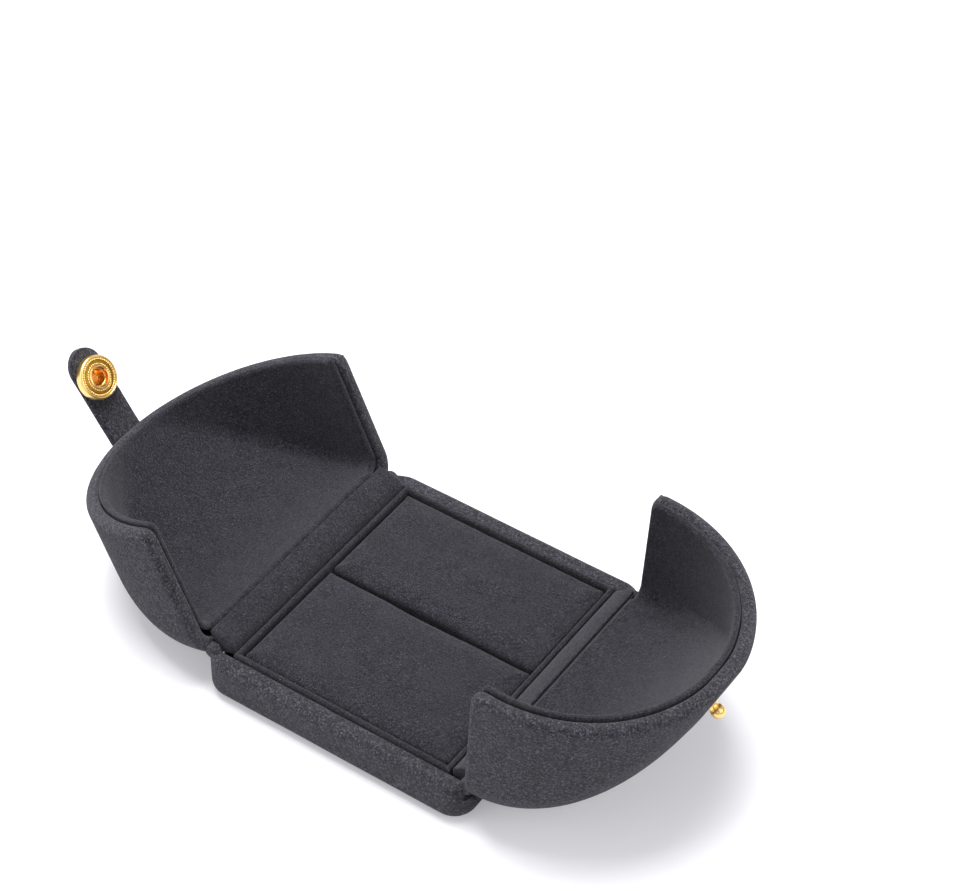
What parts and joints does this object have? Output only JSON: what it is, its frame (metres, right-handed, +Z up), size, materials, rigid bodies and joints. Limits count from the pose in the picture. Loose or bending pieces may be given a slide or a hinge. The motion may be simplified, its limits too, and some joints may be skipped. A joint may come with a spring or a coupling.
{
  "type": "ring box with arched doors and snap strap",
  "caption": "Suede-covered ring box: shallow tray with a slotted ring pad, two arched doors hinged at its ends and a strap with a snap fastener.",
  "frame": {"origin": "on the table under the middle of the tray's sole", "axes": "+X from the left door's hinge to the right door's hinge, +Y to the rear, +Z up"},
  "size_m": [0.1557, 0.065, 0.0389],
  "materials": {
    "suede": "brushed microfibre suede, charcoal",
    "moulded_abs": "moulded, matte black",
    "card_board": "grey board",
    "foam": "open-cell foam, dark grey",
    "gilt_brass": "polished and gilt",
    "steel_wire": "drawn wire"
  },
  "bodies": {
    "tray": {"base_cover": "suede", "base_shell": "moulded_abs", "base_sole": "suede", "front_pad_cover": "suede", "front_pad_foam": "foam", "left_hinge_pin": "steel_wire", "pad_board": "card_board", "pad_frame": "suede", "rear_pad_cover": "suede", "rear_pad_foam": "foam", "right_hinge_pin": "steel_wire"},
    "left_door": {"left_door_cover": "suede", "left_door_shell": "moulded_abs", "left_hinge_bar": "moulded_abs", "left_hinge_bar_cover": "suede", "left_liner_board": "card_board", "left_liner_suede": "suede", "strap_anchor": "suede"},
    "right_door": {"right_door_cover": "suede", "right_door_shell": "moulded_abs", "right_hinge_bar": "moulded_abs", "right_hinge_bar_cover": "suede", "right_liner_board": "card_board", "right_liner_suede": "suede", "snap_stud": "gilt_brass", "snap_rivet": "gilt_brass"},
    "strap": {"strap_outer_ply": "suede", "strap_inner_ply": "suede", "snap_cap": "gilt_brass", "snap_socket": "gilt_brass", "socket_spring": "steel_wire"}
  },
  "joints": [
    {"name": "left_door_hinge", "type": "hinge", "parent": "tray", "child": "left_door", "pos_m": [-0.03, 0, 0.0092], "axis": [0, 1, 0], "range_deg": [0, 114]},
    {"name": "right_door_hinge", "type": "hinge", "parent": "tray", "child": "right_door", "pos_m": [0.03, 0, 0.0092], "axis": [0, -1, 0], "range_deg": [-20.5, 93.5]},
    {"name": "strap_bend", "type": "hinge", "parent": "left_door", "child": "strap", "pos_m": [-0.07973, 0, 0.02663], "axis": [0, 1, 0], "range_deg": [-30, 36.8]}
  ]
}
